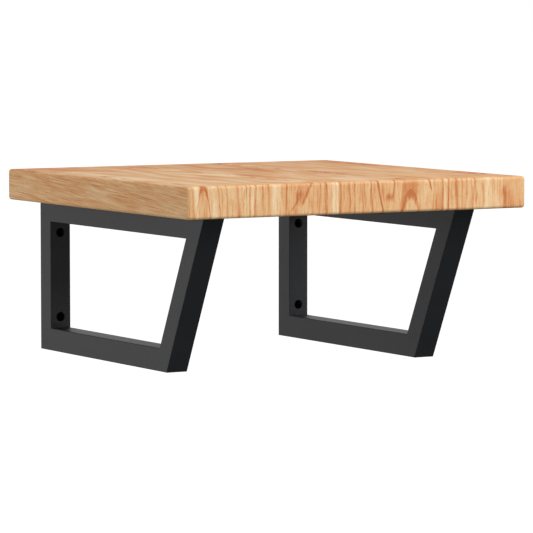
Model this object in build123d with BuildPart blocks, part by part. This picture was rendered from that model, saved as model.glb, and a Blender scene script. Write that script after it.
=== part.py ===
from build123d import *
from math import atan, cos, tan
import os

# Wall shelf: a glued solid-oak slab on two welded square-tube brackets.
# Millimetres. +X runs to the right along the wall, +Y into the wall, +Z up.
# The origin is the centre of the four wall holes, on the wall plane.

# ------------------------------------------------------------------ driving dimensions: slab
SLAB_WIDTH = 500.0
SLAB_DEPTH = 500.0
SLAB_THICKNESS = 41.0
EDGE_ROUNDOVER = 4.0
SLAB_CORNER_RADIUS = 5.0
# Staves of the glued slab, from left to right. The grain of each runs from front to back.
STAVE_WIDTHS = [84.0, 52.0, 81.0, 92.0, 99.0, 56.0, 36.0]

# -------------------------------------------------------------- driving dimensions: brackets
BRACKET_SPACING = 373.0
BRACKET_HEIGHT = 204.0
TOP_REACH = 455.0
BOTTOM_REACH = 356.0
TUBE_SIZE = 30.0
TUBE_WALL = 1.5
TUBE_CORNER_RADIUS = 1.0
TUBE_INNER_RADIUS = 0.5

# ---------------------------------------------------------- driving dimensions: wall mounting
WALL_HOLE_SPACING = 114.0
WALL_HOLE_DIAMETER = 6.5
ACCESS_HOLE_DIAMETER = 12.5

# --------------------------------------------- driving dimensions: screws that hold the slab
SLAB_SCREW_COUNT = 3
SLAB_SCREW_PITCH = 150.0
FIRST_SLAB_SCREW = 70.0
RAIL_HOLE_DIAMETER = 5.5
SCREW_LENGTH = 30.0
THREAD_DIAMETER = 5.0
THREAD_ROOT_DIAMETER = 3.4
THREAD_PITCH = 2.2
SHANK_DIAMETER = 4.0
SHANK_LENGTH = 3.0
TIP_LENGTH = 5.0
HEAD_DIAMETER = 9.5
HEAD_HEIGHT = 3.0
HEAD_RIM_HEIGHT = 0.8
RECESS_SPAN = 5.0
RECESS_SLOT = 1.1
RECESS_DEPTH = 1.8
PILOT_CLEARANCE = 0.05
PILOT_SPARE_DEPTH = 1.0

# ------------------------------------------------------------------------ derived dimensions
TOP_Z = BRACKET_HEIGHT / 2
BOTTOM_Z = -BRACKET_HEIGHT / 2
HALF_TUBE = TUBE_SIZE / 2
LEAN = atan((TOP_REACH - BOTTOM_REACH) / BRACKET_HEIGHT)
# Spare length at each end of a tube before its mitres are cut.
MITRE_ALLOWANCE = 2 * TUBE_SIZE
THREAD_TURNS = int((SCREW_LENGTH - SHANK_LENGTH - TIP_LENGTH) / THREAD_PITCH)
SIDES = {"left": -BRACKET_SPACING / 2, "right": BRACKET_SPACING / 2}
SLAB_SCREW_Y = [-(FIRST_SLAB_SCREW + index * SLAB_SCREW_PITCH) for index in range(SLAB_SCREW_COUNT)]

os.makedirs("parts", exist_ok=True)


def write_piece(piece, name):
    """Label a finished piece and write it as one STEP file."""
    piece.label = name
    export_step(piece, f"parts/{name}.step")


# ----------------------------------------------------------------------------- the oak slab
# The slab as it leaves the sander, before it is told apart into its staves: rounded corners,
# eased edges, and the six holes that its screws fill from below.
with BuildPart() as slab_blank:
    with BuildSketch(Plane.XY.offset(TOP_Z)):
        with Locations((0, -SLAB_DEPTH / 2)):
            RectangleRounded(SLAB_WIDTH, SLAB_DEPTH, SLAB_CORNER_RADIUS)
    extrude(amount=SLAB_THICKNESS)
    top_edges = slab_blank.faces().sort_by(Axis.Z)[-1].edges()
    underside_edges = slab_blank.faces().sort_by(Axis.Z)[0].edges()
    fillet(top_edges + underside_edges, radius=EDGE_ROUNDOVER)
    screw_points = [(x, y) for x in SIDES.values() for y in SLAB_SCREW_Y]
    underside = Plane(origin=(0, 0, TOP_Z), x_dir=(1, 0, 0), z_dir=(0, 0, -1))
    with Locations(underside):
        # The plane faces down, so its own Y axis points away from the wall.
        with Locations(*[(x, -y) for x, y in screw_points]):
            Hole(
                radius=THREAD_DIAMETER / 2 + PILOT_CLEARANCE,
                depth=SCREW_LENGTH - TUBE_WALL + PILOT_SPARE_DEPTH,
            )

stave_left = -SLAB_WIDTH / 2
for number, stave_width in enumerate(STAVE_WIDTHS, start=1):
    stave_right = stave_left + stave_width
    with BuildPart() as stave:
        add(slab_blank.part)
        if number > 1:
            split(bisect_by=Plane.YZ.offset(stave_left), keep=Keep.TOP)
        if number < len(STAVE_WIDTHS):
            split(bisect_by=Plane.YZ.offset(stave_right), keep=Keep.BOTTOM)
    write_piece(stave.part, f"oak_stave_{number}")
    stave_left = stave_right


# ------------------------------------------------------------------------------ the brackets
# Each bracket is four tubes, mitred and welded into one closed frame. Its front strut leans
# forward as it rises. These are the corners of the frame's centreline.
def strut_centre_y(z):
    """Y of the front strut's centreline at a height."""
    front_face_y = -(BOTTOM_REACH + (z - BOTTOM_Z) * tan(LEAN))
    return front_face_y + HALF_TUBE / cos(LEAN)


def frame_corners(x):
    """Centreline corners in order: rear top, rear bottom, front bottom, front top."""
    high = TOP_Z - HALF_TUBE
    low = BOTTOM_Z + HALF_TUBE
    return [
        Vector(x, -HALF_TUBE, high),
        Vector(x, -HALF_TUBE, low),
        Vector(x, strut_centre_y(low), low),
        Vector(x, strut_centre_y(high), high),
    ]


MEMBERS = ["rear_upright", "bottom_rail", "front_strut", "top_rail"]

for side, bracket_x in SIDES.items():
    corners = frame_corners(bracket_x)
    for index, member in enumerate(MEMBERS):
        start = corners[index]
        end = corners[(index + 1) % len(corners)]
        along = (end - start).normalized()
        before = (start - corners[index - 1]).normalized()
        after = (corners[(index + 2) % len(corners)] - end).normalized()
        with BuildPart() as tube:
            section_origin = start - along * MITRE_ALLOWANCE
            with BuildSketch(Plane(origin=section_origin, x_dir=(1, 0, 0), z_dir=along)):
                RectangleRounded(TUBE_SIZE, TUBE_SIZE, TUBE_CORNER_RADIUS)
                inner_size = TUBE_SIZE - 2 * TUBE_WALL
                RectangleRounded(inner_size, inner_size, TUBE_INNER_RADIUS, mode=Mode.SUBTRACT)
            extrude(amount=(end - start).length + 2 * MITRE_ALLOWANCE)
            split(bisect_by=Plane(origin=start, z_dir=before + along), keep=Keep.TOP)
            split(bisect_by=Plane(origin=end, z_dir=along + after), keep=Keep.BOTTOM)
            # A wide hole in the near wall lets the screw and driver in. The screw's own hole is
            # in the far wall, against the building's wall or against the slab.
            if member == "rear_upright":
                for hole_z in (-WALL_HOLE_SPACING / 2, WALL_HOLE_SPACING / 2):
                    near_wall = Plane(origin=(bracket_x, -TUBE_SIZE, hole_z), z_dir=(0, -1, 0))
                    with Locations(near_wall):
                        CounterBoreHole(
                            radius=WALL_HOLE_DIAMETER / 2,
                            counter_bore_radius=ACCESS_HOLE_DIAMETER / 2,
                            counter_bore_depth=HALF_TUBE,
                            depth=2 * TUBE_SIZE,
                        )
            if member == "top_rail":
                for hole_y in SLAB_SCREW_Y:
                    near_wall = Plane(origin=(bracket_x, hole_y, TOP_Z - TUBE_SIZE), z_dir=(0, 0, -1))
                    with Locations(near_wall):
                        CounterBoreHole(
                            radius=RAIL_HOLE_DIAMETER / 2,
                            counter_bore_radius=ACCESS_HOLE_DIAMETER / 2,
                            counter_bore_depth=HALF_TUBE,
                            depth=2 * TUBE_SIZE,
                        )
        write_piece(tube.part, f"{side}_{member}")


# ------------------------------------------------------- the screws between slab and brackets
# One pan-head wood screw, point up, with the underside of its head at the origin.
def thread_outline():
    """Half outline of the threaded length, from the shank's end to the tip's root."""
    root = THREAD_ROOT_DIAMETER / 2
    crest = THREAD_DIAMETER / 2
    points = [(root, SHANK_LENGTH)]
    for turn in range(THREAD_TURNS):
        ridge_z = SHANK_LENGTH + turn * THREAD_PITCH
        points.append((crest, ridge_z + THREAD_PITCH / 2))
        points.append((root, ridge_z + THREAD_PITCH))
    return points


with BuildPart() as screw:
    with BuildSketch(Plane.XZ):
        with BuildLine():
            crown_rounding = HEAD_HEIGHT - HEAD_RIM_HEIGHT
            crown = (HEAD_DIAMETER / 2 - crown_rounding, -HEAD_HEIGHT)
            rim = (HEAD_DIAMETER / 2, -HEAD_RIM_HEIGHT)
            Line((0, -HEAD_HEIGHT), crown)
            TangentArc(crown, rim, tangent=(1, 0))
            shank_radius = SHANK_DIAMETER / 2
            Polyline(
                rim,
                (HEAD_DIAMETER / 2, 0),
                (shank_radius, 0),
                (shank_radius, SHANK_LENGTH),
                *thread_outline(),
                (0, SCREW_LENGTH),
                (0, -HEAD_HEIGHT),
            )
        make_face()
    revolve(axis=Axis.Z)
    with BuildSketch(Plane.XY.offset(-HEAD_HEIGHT)):
        Rectangle(RECESS_SPAN, RECESS_SLOT)
        Rectangle(RECESS_SLOT, RECESS_SPAN)
    extrude(amount=RECESS_DEPTH, mode=Mode.SUBTRACT)

for side, bracket_x in SIDES.items():
    with BuildPart() as slab_screws:
        with Locations(*[(bracket_x, y, TOP_Z - TUBE_WALL) for y in SLAB_SCREW_Y]):
            add(screw.part)
    write_piece(slab_screws.part, f"{side}_slab_screws")
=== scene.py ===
import bpy
from math import cos, radians, sin
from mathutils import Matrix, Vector


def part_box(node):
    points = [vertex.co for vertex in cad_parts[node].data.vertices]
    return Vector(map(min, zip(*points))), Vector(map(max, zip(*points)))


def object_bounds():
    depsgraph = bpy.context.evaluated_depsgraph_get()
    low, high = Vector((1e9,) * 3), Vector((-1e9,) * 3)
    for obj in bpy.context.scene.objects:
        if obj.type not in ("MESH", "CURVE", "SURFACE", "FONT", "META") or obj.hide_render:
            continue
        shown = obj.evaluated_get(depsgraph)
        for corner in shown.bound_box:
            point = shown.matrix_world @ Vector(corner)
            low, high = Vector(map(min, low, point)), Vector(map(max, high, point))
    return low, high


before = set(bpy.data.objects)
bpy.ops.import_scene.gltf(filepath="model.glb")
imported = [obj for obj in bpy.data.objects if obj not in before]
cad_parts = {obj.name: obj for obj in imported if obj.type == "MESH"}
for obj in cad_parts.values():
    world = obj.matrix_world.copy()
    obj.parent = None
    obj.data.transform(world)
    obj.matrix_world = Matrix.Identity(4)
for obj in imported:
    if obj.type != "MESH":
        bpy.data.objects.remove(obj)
cad_low, cad_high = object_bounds()
CENTRE = (cad_low + cad_high) / 2

# The row frame is in metres: +X right along the wall, +Y into the wall, +Z up, origin on the
# wall. The patterns of the materials are in millimetres.
MM = 1000
SLAB_LOW, SLAB_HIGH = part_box("oak_stave_1")
SLAB_FRONT = SLAB_LOW.y * MM
SLAB_TOP = SLAB_HIGH.z * MM
UNDERSIDE = (SLAB_LOW.z - SLAB_HIGH.z) * MM

# --------------------------------------------------------------------------------- camera
# It looks at the shelf from the front left, from a little above the slab.
CAMERA_AZIMUTH = radians(-30.14)
CAMERA_ELEVATION = radians(4.48)
CAMERA_DISTANCE = 4.7815
CAMERA_AIM = CENTRE + Vector((0.0052, -0.0032, -0.0020))
LENS = 244.37


def towards(azimuth, elevation):
    """Unit vector from the object to a place; azimuth 0 is the front, positive to the right."""
    level = cos(elevation)
    return Vector((sin(azimuth) * level, -cos(azimuth) * level, sin(elevation)))


def add_camera():
    """The only camera, without depth of field."""
    data = bpy.data.cameras.new("camera")
    data.lens = LENS
    data.clip_start = 0.1
    data.clip_end = 400
    camera = bpy.data.objects.new("camera", data)
    back = towards(CAMERA_AZIMUTH, CAMERA_ELEVATION)
    camera.location = CAMERA_AIM + back * CAMERA_DISTANCE
    camera.rotation_euler = back.to_track_quat("Z", "Y").to_euler()
    bpy.context.scene.collection.objects.link(camera)
    bpy.context.scene.camera = camera


# --------------------------------------------------------------------------- node helpers
class Field:
    """A number or colour that varies over a surface: an output socket with arithmetic."""

    def __init__(self, graph, socket):
        self.graph = graph
        self.socket = socket

    def __add__(self, other):
        return self.graph.math("ADD", self, other)

    __radd__ = __add__

    def __sub__(self, other):
        return self.graph.math("SUBTRACT", self, other)

    def __rsub__(self, other):
        return self.graph.math("SUBTRACT", other, self)

    def __mul__(self, other):
        return self.graph.math("MULTIPLY", self, other)

    __rmul__ = __mul__

    def __truediv__(self, other):
        return self.graph.math("DIVIDE", self, other)

    def __abs__(self):
        return self.graph.math("ABSOLUTE", self)

    def smooth(self, low, high):
        """0 below low, 1 above high, and an S-shaped step between; high may be the lower one."""
        return self.graph.step(self, low, high)


class Graph:
    """The nodes of one material or world, with short calls for what the patterns need."""

    def __init__(self, owner):
        owner.use_nodes = True
        self.tree = owner.node_tree
        self.tree.nodes.clear()

    def node(self, kind, **settings):
        """A new node of this kind, with these properties set."""
        node = self.tree.nodes.new(kind)
        for name, value in settings.items():
            setattr(node, name, value)
        return node

    def feed(self, socket, value):
        """Links a field to a socket, or sets the socket to a constant."""
        if isinstance(value, Field):
            self.tree.links.new(value.socket, socket)
        else:
            socket.default_value = value

    def math(self, operation, *values):
        """One arithmetic node on fields or plain numbers."""
        node = self.node("ShaderNodeMath", operation=operation)
        for socket, value in zip(node.inputs, values):
            self.feed(socket, value)
        return Field(self, node.outputs[0])

    def step(self, value, low, high):
        """The node behind Field.smooth."""
        node = self.node("ShaderNodeMapRange", interpolation_type="SMOOTHSTEP")
        self.feed(node.inputs["Value"], value)
        node.inputs["From Min"].default_value = min(low, high)
        node.inputs["From Max"].default_value = max(low, high)
        if high < low:
            node.inputs["To Min"].default_value = 1
            node.inputs["To Max"].default_value = 0
        return Field(self, node.outputs[0])

    def either(self, factor, first, second):
        """The first number where factor is 0, the second where it is 1."""
        node = self.node("ShaderNodeMix", data_type="FLOAT")
        for socket, value in zip(node.inputs, (factor, None, first, second)):
            if value is not None:
                self.feed(socket, value)
        return Field(self, node.outputs[0])

    def noise(self, x, y, z=0.0, detail=2.0, roughness=0.5):
        """Smooth noise from 0 to 1, one feature to each unit of its coordinates."""
        place = self.node("ShaderNodeCombineXYZ")
        for socket, value in zip(place.inputs, (x, y, z)):
            self.feed(socket, value)
        node = self.node("ShaderNodeTexNoise")
        self.tree.links.new(place.outputs[0], node.inputs["Vector"])
        node.inputs["Scale"].default_value = 1.0
        node.inputs["Detail"].default_value = detail
        node.inputs["Roughness"].default_value = roughness
        return Field(self, node.outputs[0])

    def blend(self, factor, first, second):
        """Mixes two colours: first where factor is 0, second where it is 1."""
        node = self.node("ShaderNodeMix", data_type="RGBA")
        self.feed(node.inputs["Factor"], factor)
        self.feed(node.inputs[6], first)
        self.feed(node.inputs[7], second)
        return Field(self, node.outputs[2])

    def ramp(self, value, stops):
        """A colour for each value from 0 to 1, from a list of (value, colour)."""
        node = self.node("ShaderNodeValToRGB")
        self.feed(node.inputs[0], value)
        elements = node.color_ramp.elements
        while len(elements) < len(stops):
            elements.new(0.5)
        for element, (place, tint) in zip(elements, stops):
            element.position = place
            element.color = tint
        return Field(self, node.outputs[0])

    def place(self):
        """Object coordinates as three fields, in millimetres."""
        where = self.node("ShaderNodeTexCoord")
        split = self.node("ShaderNodeSeparateXYZ")
        self.tree.links.new(where.outputs["Object"], split.inputs[0])
        return [Field(self, output) * MM for output in split.outputs]

    def facing(self):
        """How far the surface faces along X, Y and Z, each from 0 to 1 in either direction."""
        geometry = self.node("ShaderNodeNewGeometry")
        split = self.node("ShaderNodeSeparateXYZ")
        self.tree.links.new(geometry.outputs["True Normal"], split.inputs[0])
        return [abs(Field(self, output)) for output in split.outputs]

    def bump(self, height, distance):
        """The surface normal over this relief; distance is how deep 1 is, in metres."""
        node = self.node("ShaderNodeBump")
        node.inputs["Strength"].default_value = 1.0
        node.inputs["Distance"].default_value = distance
        self.feed(node.inputs["Height"], height)
        return Field(self, node.outputs[0])

    def surface(self, **inputs):
        """Ends the material in a Principled BSDF with these inputs."""
        shader = self.node("ShaderNodeBsdfPrincipled")
        for name, value in inputs.items():
            self.feed(shader.inputs[name.replace("_", " ")], value)
        output = self.node("ShaderNodeOutputMaterial")
        self.tree.links.new(shader.outputs[0], output.inputs[0])


def colour(red, green, blue):
    """A linear colour from 8-bit display values."""

    def linear(level):
        level /= 255
        return level / 12.92 if level <= 0.04045 else ((level + 0.055) / 1.055) ** 2.4

    return (linear(red), linear(green), linear(blue), 1.0)


# ------------------------------------------------------------------------------ the metals
# The coat has a fine grain and a slow cloudiness, both sized in millimetres.
COAT_DARK = colour(21, 22, 25)
COAT_PALE = colour(25, 26, 29)
COAT_GRAIN = 0.35
COAT_CLOUD = 40
COAT_RELIEF = 0.00006
ZINC_DARK = colour(168, 168, 160)
ZINC_PALE = colour(205, 204, 196)
# The turning marks run around the screw, so they are long across it and short along it.
TURNING_LENGTH = 0.6
TURNING_WIDTH = 0.15
ZINC_RELIEF = 0.00004


def powder_coat():
    """Fine matt black powder coat."""
    material = bpy.data.materials.new("black_powder_coat")
    graph = Graph(material)
    x, y, z = graph.place()
    grain = graph.noise(x / COAT_GRAIN, y / COAT_GRAIN, z / COAT_GRAIN, detail=1.0)
    cloud = graph.noise(x / COAT_CLOUD, y / COAT_CLOUD, z / COAT_CLOUD)
    graph.surface(
        Base_Color=graph.blend(cloud.smooth(0.3, 0.7), COAT_DARK, COAT_PALE),
        Roughness=0.42 + 0.08 * grain,
        Normal=graph.bump(grain, COAT_RELIEF),
    )
    return material


def zinc():
    """Zinc-plated steel with faint turning marks."""
    material = bpy.data.materials.new("zinc_screw")
    graph = Graph(material)
    x, y, z = graph.place()
    marks = graph.noise(x / TURNING_LENGTH, y / TURNING_LENGTH, z / TURNING_WIDTH)
    graph.surface(
        Base_Color=graph.blend(marks, ZINC_DARK, ZINC_PALE),
        Metallic=1.0,
        Roughness=0.25 + 0.2 * marks,
        Normal=graph.bump(marks, ZINC_RELIEF),
    )
    return material


# ---------------------------------------------------------------------------------- the oak
# From pale sapwood to the darkest late growth. The number is how dark the growth is, with any painted
# shade added.
OAK_TONES = [
    (0.0, colour(248, 218, 173)),
    (0.3, colour(238, 196, 144)),
    (0.55, colour(230, 174, 118)),
    (0.8, colour(219, 147, 92)),
    (1.0, colour(200, 121, 71)),
]
# The long lines of the grain climb the front edge and run on over the top to the wall. On the
# top, this much of a step along the grain shows for each millimetre of depth.
LAY = 0.13
# How much slower the growth lines change along the grain than across it.
HEART_LAY = 0.09
# On the two end faces the lines run from front to rear and sink a little towards the front.
END_LAY = 0.3
END_SLOPE = 0.07
# The grain wanders sideways in a slow drift and a quick waver, by about half of each reach.
DRIFT_WIDTH = 45
DRIFT_LENGTH = 28
DRIFT_REACH = 4
WAVER_WIDTH = 6
WAVER_LENGTH = 9
WAVER_REACH = 1.2
# How wide the features of the grain are, in millimetres across it.
BAND_WIDTH = 16
STREAK_WIDTH = 8
STRIPE_WIDTH = 5
LINE_WIDTH = 2.1
FIBRE_WIDTH = 0.9
PORE_WIDTH = 0.45
# How long they are: on the front in millimetres of height, flecks and streaks in depth.
STRIPE_LENGTH = 45
BAND_LENGTH = 30
LINE_LENGTH = 30
FIBRE_LENGTH = 8
PORE_LENGTH = 3.2
FLECK_LENGTH = 45
STREAK_LENGTH = 80
# How much they darken the wood.
BAND_STRENGTH = 0.4
STRIPE_STRENGTH = 0.42
LINE_STRENGTH = 0.42
FIBRE_STRENGTH = 0.35
FLECK_STRENGTH = 1.6
PORE_STRENGTH = 0.25
# How much darker painted shade makes the top at the rear than at the front, and the end faces than the
# front.
REAR_SHADE = 0.09
END_SHADE = 0.1
# On the ends, stripes and lines are fainter by this share.
END_FADE = 0.35
# How far behind the front edge the marks of the front reach.
MARK_DEPTH = 16
# An arch's spread is measured this far below its tip.
ARCH_DROP = 20
# Relief, in metres, between the palest and the darkest growth.
OAK_RELIEF = 0.00005


class Oak:
    """The figure of one stave: how dark the growth is at each point, from 0 to 1, with painted shade
    added on the end faces and at the rear of the top.

    tone is how dark the stave is as a whole. heart is the x and y that the growth lines of the
    top run around, in long ellipses. With a heart in front of the slab or behind it, the stave
    shows their pointed ends; with one far beside the stave, only straight lines. The marks are
    in millimetres: x, and the height below the top as a negative number. Each pattern reads its
    own slice of the noise, at seed plus a number.
    """

    def __init__(self, number, tone, heart):
        self.material = bpy.data.materials.new(f"oak_stave_{number}")
        self.graph = graph = Graph(self.material)
        x, y, z = graph.place()
        seed = 17.3 * number
        self.depth = y - SLAB_FRONT
        self.height = z - SLAB_TOP
        facing_x, _, facing_z = graph.facing()
        self.end_face = facing_x.smooth(0.55, 0.85)
        climb = self.height + LAY * self.depth
        # Nothing in wood is straight: this x wanders by a millimetre or two along the grain.
        drift = graph.noise(x / DRIFT_WIDTH, climb / DRIFT_LENGTH, seed) - 0.5
        waver = graph.noise(x / WAVER_WIDTH, climb / WAVER_LENGTH, seed + 5) - 0.5
        self.x = x + DRIFT_REACH * drift + WAVER_REACH * waver
        sunk = self.height - END_SLOPE * (y + 10 * drift)
        spread = self.x - heart[0]
        reach = HEART_LAY * (y - heart[1])
        ring = graph.math("SQRT", spread * spread + reach * reach)
        # Across and along the grain: on the front x and height, on the ends height and depth,
        # and on the top and the underside the growth rings and depth.
        upright = graph.either(self.end_face, self.x, sunk)
        self.across = graph.either(facing_z.smooth(0.6, 0.85), upright, ring)
        self.along = graph.either(self.end_face, climb, END_LAY * self.depth)
        self.seed = seed
        self.near_front = self.depth.smooth(MARK_DEPTH, 2)
        streaks = graph.noise(ring / STREAK_WIDTH, self.depth / STREAK_LENGTH, seed + 61, detail=1.0)
        on_top = self.height.smooth(-3, -1) * self.depth.smooth(5, 25)
        # Painted shade: the top is made darker towards the rear, over this depth.
        rear = self.depth.smooth(120, 480)
        # The figure is the stave's tone and grain, with the painted shade of the end faces and of the
        # rear of the top.
        self.darkness = tone + self.grain() + on_top * (streaks - 0.5 + REAR_SHADE * rear)

    def grain(self):
        """The growth lines that no mark below singles out, from wide soft bands to fibres, and painted
        shade that darkens the end faces.
        """
        noise = self.graph.noise
        across, along, seed = self.across, self.along, self.seed
        bands = noise(across / BAND_WIDTH, along / BAND_LENGTH, seed + 11, detail=1.0) - 0.5
        stripes = noise(across / STRIPE_WIDTH, along / STRIPE_LENGTH, seed + 23) - 0.5
        lines = noise(across / LINE_WIDTH, along / LINE_LENGTH, seed + 37, detail=1.0)
        lines = lines.smooth(0.48, 0.8)
        fibres = noise(across / FIBRE_WIDTH, along / FIBRE_LENGTH, seed + 41, detail=1.0) - 0.5
        flecks = noise(across / FIBRE_WIDTH, self.depth / FLECK_LENGTH, seed + 71, roughness=0.6) - 0.5
        # Flecks of grain on the end faces, plus painted shade that darkens each end face as a whole.
        flecks_and_end_shade = self.end_face * (FLECK_STRENGTH * flecks + END_SHADE)
        plain = 1 - END_FADE * self.end_face
        figure = plain * (STRIPE_STRENGTH * stripes + LINE_STRENGTH * lines)
        return BAND_STRENGTH * bands + figure + FIBRE_STRENGTH * fibres + flecks_and_end_shade

    def darken(self, mark, strength):
        """Adds a mark that fades out behind the front edge; a negative strength is pale."""
        self.darkness = self.darkness + strength * (mark * self.near_front)

    def line(self, top, bottom, width, strength, start=0.0, end=UNDERSIDE):
        """A line on the front, from x = top at the top edge to x = bottom at the underside.

        start and end are the heights between which it shows.
        """
        lean = (bottom - top) / UNDERSIDE
        gap = abs(self.x - (self.height * lean + top))
        mark = gap.smooth(width, width * 0.2)
        if start < 0:
            mark = mark * self.height.smooth(start + 3, start - 3)
        if end > UNDERSIDE:
            mark = mark * self.height.smooth(end - 4, end + 4)
        self.darken(mark, strength)

    def arch(self, centre, apex, spread, thickness, strength):
        """A curved band with its tip at the height apex, thick there and thin in its flanks.

        spread is how far each flank has gone sideways ARCH_DROP below the tip.
        """
        aside = (self.x - centre) / spread
        inside = apex - ARCH_DROP * (aside * aside) - self.height
        self.darken(inside.smooth(-1.2, 1.0) * inside.smooth(thickness + 3, thickness - 3), strength)

    def patch(self, left, right, start, end, strength):
        """A soft-edged area on the front, from start down to end."""
        sides = self.x.smooth(left - 1.5, left + 1.5) * self.x.smooth(right + 1.5, right - 1.5)
        mark = sides * self.height.smooth(start + 4, start - 4) * self.height.smooth(end - 5, end + 5)
        self.darken(mark, strength)

    def top_patch(self, left, right, rear, front, strength):
        """A soft-edged area on the top, from y = rear forward to y = front."""
        sides = self.x.smooth(left - 6, left + 6) * self.x.smooth(right + 6, right - 6)
        rear_edge = self.depth.smooth(rear - SLAB_FRONT + 20, rear - SLAB_FRONT - 20)
        front_edge = self.depth.smooth(front - SLAB_FRONT - 20, front - SLAB_FRONT + 20)
        mark = sides * rear_edge * front_edge * self.height.smooth(-3, -1)
        self.darkness = self.darkness + strength * mark

    def finish(self):
        """Turns the figure into a material: colour, roughness and relief."""
        graph = self.graph
        across = self.across / PORE_WIDTH
        pores = graph.noise(across, self.along / PORE_LENGTH, self.seed + 53, detail=0.0)
        pores = pores.smooth(0.62, 0.78)
        # The dark growth stands a little lower than the pale, and the pores are pits.
        relief = 1 - self.darkness - 0.8 * pores
        graph.surface(
            Base_Color=graph.ramp(self.darkness + PORE_STRENGTH * pores, OAK_TONES),
            Roughness=0.56 + 0.12 * self.darkness,
            Specular_IOR_Level=0.2,
            Normal=graph.bump(relief, OAK_RELIEF),
        )
        return self.material


# The marks of each stave, from its left edge to its right, and then those of its top.
def oak_1():
    oak = Oak(1, 0.3, heart=(-227, -640))
    oak.line(-244, -240, 1.4, 0.25)
    oak.line(-237.5, -236, 4, -0.3)
    oak.arch(-227.5, 5, 7.2, 9, 0.45)
    oak.patch(-233, -221, -1, -8, 0.22)
    oak.patch(-233, -221, 0, UNDERSIDE, 0.12)
    oak.line(-212, -211, 5, -0.2)
    oak.line(-206, -203.5, 1.4, 0.35)
    oak.line(-194.8, -192.8, 1.7, 0.42)
    oak.line(-179.5, -177.5, 2.4, 0.28)
    oak.line(-166.5, -164.8, 1.6, 0.6)
    oak.top_patch(-250, -166, 0, -125, 0.22)
    oak.top_patch(-224, -206, -110, -480, -0.2)
    return oak.finish()


def oak_2():
    oak = Oak(2, 0.28, heart=(-95, -600))
    oak.line(-161.5, -161, 1.5, 0.3)
    oak.line(-157.5, -157.5, 3, -0.2)
    oak.line(-153.2, -154.5, 2.4, 0.35)
    oak.line(-142, -141.5, 1.5, 0.25)
    oak.line(-134.5, -134, 3, 0.28)
    oak.patch(-130, -116, 0, UNDERSIDE, -0.16)
    oak.top_patch(-166, -140, 0, -140, 0.22)
    oak.top_patch(-155, -140, -230, -310, 0.25)
    oak.top_patch(-158, -138, -345, -400, 0.22)
    return oak.finish()


def oak_3():
    oak = Oak(3, 0.4, heart=(-78, 90))
    oak.patch(-114, -92, 0, UNDERSIDE, 0.12)
    oak.line(-108.5, -110, 2, 0.35)
    oak.patch(-93, -78, 0, -17, 0.24)
    oak.patch(-95, -83, -12, -25, 0.28)
    oak.line(-72.5, -93, 3, 0.42, 0, -27)
    oak.line(-78, -106.5, 2.6, 0.32, -19, -34)
    oak.line(-70, -71, 1.6, 0.25)
    oak.line(-60, -62, 1.8, 0.35)
    oak.line(-52, -51.5, 3, 0.5)
    oak.line(-40.5, -40, 4, -0.3)
    oak.line(-35, -35, 2.4, -0.5)
    oak.top_patch(-98, -70, -200, -330, -0.25)
    oak.top_patch(-60, -45, -290, -400, 0.2)
    return oak.finish()


def oak_4():
    oak = Oak(4, 0.42, heart=(120, -900))
    oak.line(-30.7, -30.2, 2.4, 0.4)
    oak.line(-17, -16.5, 1.6, 0.2)
    oak.line(-10, -9, 1.8, 0.25)
    oak.line(1, 3, 1.4, 0.3, -8)
    oak.line(14.8, 16.2, 2, 0.42)
    oak.line(24.5, 32.5, 2.3, 0.62)
    oak.line(49.3, 46.8, 2.2, 0.5, 0, -20)
    oak.patch(37, 48, -18, -25, 0.48)
    oak.top_patch(8, 36, -140, -250, 0.25)
    oak.top_patch(0, 45, -400, -490, -0.3)
    return oak.finish()


def oak_5():
    oak = Oak(5, 0.38, heart=(75, -600))
    oak.patch(61, 84, -2, -20, 0.36)
    oak.arch(73.5, -12, 12, 12, 0.4)
    oak.line(67, 59.5, 5.5, 0.36, -20)
    oak.patch(90, 108, 0, UNDERSIDE, -0.1)
    oak.line(101.5, 111, 1.6, 0.75, 0, -14)
    oak.patch(111, 120, -18, UNDERSIDE, 0.22)
    oak.line(122.5, 121.5, 2.6, 0.42)
    oak.line(127, 126, 4, -0.2)
    oak.line(132, 129.8, 2.2, 0.42)
    oak.line(143.2, 144, 3.4, 0.5)
    oak.line(152, 152, 2, 0.2)
    oak.top_patch(60, 82, -235, -385, 0.25)
    oak.top_patch(60, 130, -390, -500, 0.1)
    return oak.finish()


def oak_6():
    oak = Oak(6, 0.36, heart=(260, -100))
    oak.line(159, 157.5, 2.8, 0.35, 0, -30)
    oak.line(168, 168.5, 1.8, 0.35, -12)
    oak.line(171, 173.5, 2.4, 0.4, 0, -32)
    oak.line(181.5, 187, 3, 0.28, -8, -36)
    oak.line(191, 190, 7, -0.25)
    oak.patch(196, 209, 0, UNDERSIDE, -0.12)
    return oak.finish()


def oak_7():
    oak = Oak(7, 0.46, heart=(226, 60))
    oak.patch(215, 231, -17, UNDERSIDE, 0.2)
    oak.line(216.5, 218, 3.2, 0.28, -12)
    return oak.finish()


OAKS = [oak_1, oak_2, oak_3, oak_4, oak_5, oak_6, oak_7]


def paint_nodes():
    for number, oak in enumerate(OAKS, start=1):
        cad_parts[f"oak_stave_{number}"].material_slots[0].material = oak()
    coat = powder_coat()
    plated = zinc()
    for name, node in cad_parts.items():
        if name.endswith("screws"):
            node.material_slots[0].material = plated
        elif not name.startswith("oak"):
            node.material_slots[0].material = coat


# ---------------------------------------------------------------------------------- stage
# How bright the surroundings are as light, by height: -1 is straight down, 0 the horizon and 1
# straight up. The bright band just below the horizon is the far floor.
LIGHT_LEVELS = [
    (-1, 0.14),
    (-0.5, 0.1),
    (-0.12, 0.67),
    (0.05, 0.3),
    (0.25, 0.22),
    (0.6, 0.41),
    (1, 0.78),
]
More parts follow.
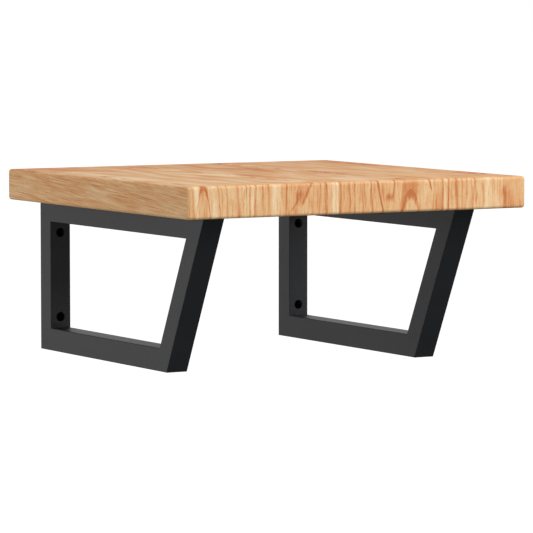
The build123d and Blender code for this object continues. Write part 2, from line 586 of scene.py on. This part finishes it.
# How much redder the light from straight above is.
WARMTH = 1.07
KEY_TINT = (0.955, 0.985, 1.05)
LEFT_TINT = (1.03, 1.0, 1.0)
FLOOR_COLOUR = colour(243, 243, 243)
FLOOR_Z = -0.75
FLOOR_REACH = 60.0
FLOOR_GLOW = 0.6


def add_world():
    """Plain white for the camera, and soft light in LIGHT_LEVELS for the shelf."""
    world = bpy.data.worlds.new("studio")
    bpy.context.scene.world = world
    graph = Graph(world)
    where = graph.node("ShaderNodeTexCoord")
    split = graph.node("ShaderNodeSeparateXYZ")
    graph.tree.links.new(where.outputs["Generated"], split.inputs[0])
    height = Field(graph, split.outputs[2])
    stops = []
    for place, level in LIGHT_LEVELS:
        stops.append(((place + 1) / 2, (level * WARMTH ** place, level, level, 1)))
    background = graph.node("ShaderNodeBackground")
    graph.feed(background.inputs[0], graph.ramp((height + 1) / 2, stops))
    white = graph.node("ShaderNodeBackground")
    white.inputs[0].default_value = (1, 1, 1, 1)
    path = graph.node("ShaderNodeLightPath")
    mix = graph.node("ShaderNodeMixShader")
    graph.tree.links.new(path.outputs["Is Camera Ray"], mix.inputs[0])
    graph.tree.links.new(background.outputs[0], mix.inputs[1])
    graph.tree.links.new(white.outputs[0], mix.inputs[2])
    output = graph.node("ShaderNodeOutputWorld")
    graph.tree.links.new(mix.outputs[0], output.inputs[0])


def add_floor():
    """A pale floor that the camera alone sees, bright enough to fade into the white behind it.

    It is clear from below, so that the underside of the shelf can be looked at.
    """
    mesh = bpy.data.meshes.new("floor")
    corners = [(-FLOOR_REACH, -FLOOR_REACH), (FLOOR_REACH, -FLOOR_REACH)]
    corners += [(x, -y) for x, y in reversed(corners)]
    mesh.from_pydata([(x, y, FLOOR_Z) for x, y in corners], [], [(0, 1, 2, 3)])
    floor = bpy.data.objects.new("floor", mesh)
    bpy.context.scene.collection.objects.link(floor)
    material = bpy.data.materials.new("floor")
    graph = Graph(material)
    paper = graph.node("ShaderNodeBsdfDiffuse")
    paper.inputs["Color"].default_value = FLOOR_COLOUR
    glow = graph.node("ShaderNodeEmission")
    glow.inputs["Strength"].default_value = FLOOR_GLOW
    lit = graph.node("ShaderNodeAddShader")
    clear = graph.node("ShaderNodeBsdfTransparent")
    geometry = graph.node("ShaderNodeNewGeometry")
    side = graph.node("ShaderNodeMixShader")
    graph.tree.links.new(paper.outputs[0], lit.inputs[0])
    graph.tree.links.new(glow.outputs[0], lit.inputs[1])
    graph.tree.links.new(geometry.outputs["Backfacing"], side.inputs[0])
    graph.tree.links.new(lit.outputs[0], side.inputs[1])
    graph.tree.links.new(clear.outputs[0], side.inputs[2])
    output = graph.node("ShaderNodeOutputMaterial")
    graph.tree.links.new(side.outputs[0], output.inputs[0])
    mesh.materials.append(material)
    floor.visible_diffuse = False
    floor.visible_glossy = False
    floor.visible_shadow = False


def add_softbox(name, azimuth, elevation, distance, size, power, tint=(1.0, 1.0, 1.0)):
    """A square area light that faces the shelf; the angles are in degrees."""
    data = bpy.data.lights.new(name, "AREA")
    data.color = tint
    data.size = size
    data.energy = power
    light = bpy.data.objects.new(name, data)
    back = towards(radians(azimuth), radians(elevation))
    light.location = CENTRE + back * distance
    light.rotation_euler = back.to_track_quat("Z", "Y").to_euler()
    light.visible_camera = False
    bpy.context.scene.collection.objects.link(light)


add_camera()
add_floor()
add_world()
add_softbox("key", azimuth=20, elevation=30, distance=3.2, size=2.0, power=74.5, tint=KEY_TINT)
add_softbox("left_fill", azimuth=-100, elevation=-6, distance=3.0, size=1.2, power=18, tint=LEFT_TINT)
add_softbox("rear_left_fill", azimuth=-140, elevation=-4, distance=3.0, size=1.6, power=4.2)
add_softbox("rear_right_fill", azimuth=150, elevation=12, distance=3.0, size=1.6, power=4.7)
paint_nodes()

scene = bpy.context.scene
scene.view_settings.view_transform = "Standard"
